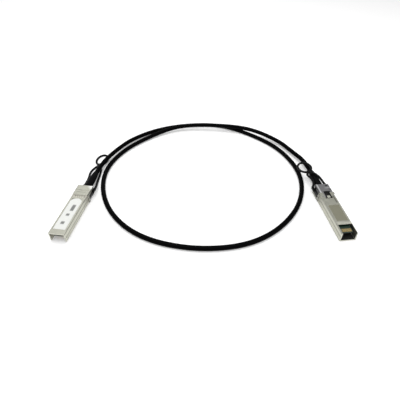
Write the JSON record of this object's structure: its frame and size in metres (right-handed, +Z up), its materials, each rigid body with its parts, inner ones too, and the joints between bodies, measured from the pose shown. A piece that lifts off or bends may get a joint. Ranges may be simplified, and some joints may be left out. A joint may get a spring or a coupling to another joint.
{
  "type": "direct attach copper cable",
  "caption": "Short twinax copper cable, laid in a loop, with a pluggable metal module, moulded boot and pull-ring latch on each end, for joining network equipment.",
  "frame": {"origin": "on the table surface, midway between the two plugs and midway along their length", "axes": "+X from the left plug to the right plug, +Y from the plugs' connector ends towards their boots, +Z up from the table"},
  "size_m": [0.2441, 0.1948, 0.0129],
  "materials": {
    "shell_metal": "satin nickel plate on die-cast zinc",
    "screw_steel": "plain",
    "spring_metal": "plated spring copper",
    "spring_steel": "bright",
    "slider_steel": "stamped",
    "card_green": "solder mask",
    "contact_gold": "gold plate",
    "chip_black": "matte",
    "capacitor_tan": "ceramic",
    "pair_foil": "foil shield",
    "ferrule_metal": "crimped",
    "boot_black": "fine matte moulding",
    "strap_black": "smooth moulding",
    "jacket_black": "extruded jacket",
    "label_white": "paper label"
  },
  "bodies": {
    "cable_assembly": {"left_top_shell": "shell_metal", "left_bottom_shell": "shell_metal", "left_shell_screws": "screw_steel", "left_emi_gasket": "spring_metal", "left_paddle_card": "card_green", "left_card_contacts": "contact_gold", "left_memory_chip": "chip_black", "left_coupling_capacitors": "capacitor_tan", "left_transmit_pair": "pair_foil", "left_receive_pair": "pair_foil", "left_crimp_ferrule": "ferrule_metal", "left_cable_boot": "boot_black", "left_return_spring": "spring_steel", "right_top_shell": "shell_metal", "right_bottom_shell": "shell_metal", "right_shell_screws": "screw_steel", "right_emi_gasket": "spring_metal", "right_paddle_card": "card_green", "right_card_contacts": "contact_gold", "right_memory_chip": "chip_black", "right_coupling_capacitors": "capacitor_tan", "right_transmit_pair": "pair_foil", "right_receive_pair": "pair_foil", "right_crimp_ferrule": "ferrule_metal", "right_cable_boot": "boot_black", "right_return_spring": "spring_steel", "left_label": "label_white", "cable_jacket": "jacket_black"},
    "left_latch": {"left_latch_slider": "slider_steel", "left_pull_ring": "strap_black"},
    "right_latch": {"right_latch_slider": "slider_steel", "right_pull_ring": "strap_black"}
  },
  "joints": [
    {"name": "left_latch_pull", "type": "slide", "parent": "cable_assembly", "child": "left_latch", "axis": [0.1392, 0.9903, 0], "range_m": [0, 0.0025], "stiffness_N_per_m": 800, "deforming": ["left_return_spring"]},
    {"name": "right_latch_pull", "type": "slide", "parent": "cable_assembly", "child": "right_latch", "axis": [-0.1097, 0.994, 0], "range_m": [0, 0.0025], "stiffness_N_per_m": 800, "deforming": ["right_return_spring"]}
  ]
}
